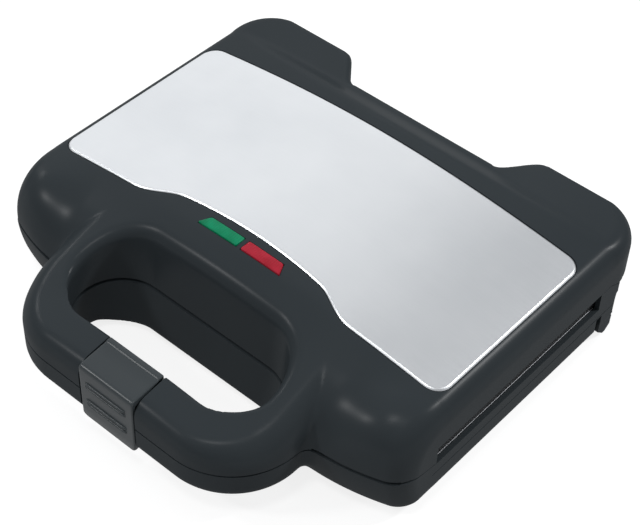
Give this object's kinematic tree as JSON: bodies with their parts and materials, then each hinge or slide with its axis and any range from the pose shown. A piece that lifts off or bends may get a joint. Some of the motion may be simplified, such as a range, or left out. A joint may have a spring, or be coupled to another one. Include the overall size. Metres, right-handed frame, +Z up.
{
  "type": "sandwich toaster",
  "caption": "Countertop sandwich toaster with a hinged lid, crowned steel trim plate, loop handle with latch clip, lamp lenses and two pocketed cooking plates.",
  "frame": {"origin": "centre of the footprint, at the height of the table", "axes": "+X across the width to the user's right, +Y from the handle to the hinge, +Z up"},
  "size_m": [0.24, 0.2284, 0.0656],
  "materials": {
    "body_plastic": "fine matte texture",
    "latch_plastic": "satin",
    "frame_plastic": "satin",
    "trim_steel": "brushed along the width",
    "green_lens": "clear, green",
    "red_lens": "clear, red",
    "neon_glass": "clear",
    "holder_plastic": "natural",
    "non_stick": "non-stick coating on cast aluminium",
    "element_metal": "heat tinted",
    "plated_steel": "zinc plated",
    "shield_aluminium": "mill finish",
    "screw_steel": "zinc plated",
    "red_wire": "insulation",
    "blue_wire": "insulation",
    "ceramic": "glazed",
    "terminal_plastic": "natural",
    "rubber": "matte",
    "arm_aluminium": "die cast"
  },
  "bodies": {
    "base": {"base_shell": "body_plastic", "base_frame": "frame_plastic", "lower_cooking_plate": "non_stick", "lower_heating_element": "element_metal", "lower_element_clamps": "plated_steel", "lower_heat_shield": "shield_aluminium", "lower_plate_screws": "screw_steel", "base_screws": "screw_steel", "thermostat": "ceramic", "thermal_fuse": "ceramic", "terminal_block": "terminal_plastic", "base_wiring": "blue_wire", "wire_clamp": "holder_plastic", "cord_gland": "rubber", "left_hinge_arm": "arm_aluminium", "right_hinge_arm": "arm_aluminium", "hinge_pins": "plated_steel", "hinge_screws": "screw_steel", "rubber_feet": "rubber"},
    "lid": {"lid_shell": "body_plastic", "trim_plate": "trim_steel", "green_lens": "green_lens", "red_lens": "red_lens", "indicator_lamps": "neon_glass", "lamp_holder": "holder_plastic", "lid_frame": "frame_plastic", "upper_cooking_plate": "non_stick", "upper_heating_element": "element_metal", "upper_element_clamps": "plated_steel", "upper_heat_shield": "shield_aluminium", "upper_plate_screws": "screw_steel", "lid_screws": "screw_steel", "lid_wiring": "red_wire", "latch_pin": "plated_steel"},
    "latch": {"latch": "latch_plastic"}
  },
  "joints": [
    {"name": "lid_hinge", "type": "hinge", "parent": "base", "child": "lid", "pos_m": [0, 0.09775, 0.048], "axis": [-1, 0, 0], "range_deg": [0, 95]},
    {"name": "latch_pivot", "type": "hinge", "parent": "lid", "child": "latch", "pos_m": [0, -0.10025, 0.03933], "axis": [-1, 0, 0], "range_deg": [0, 35]}
  ]
}
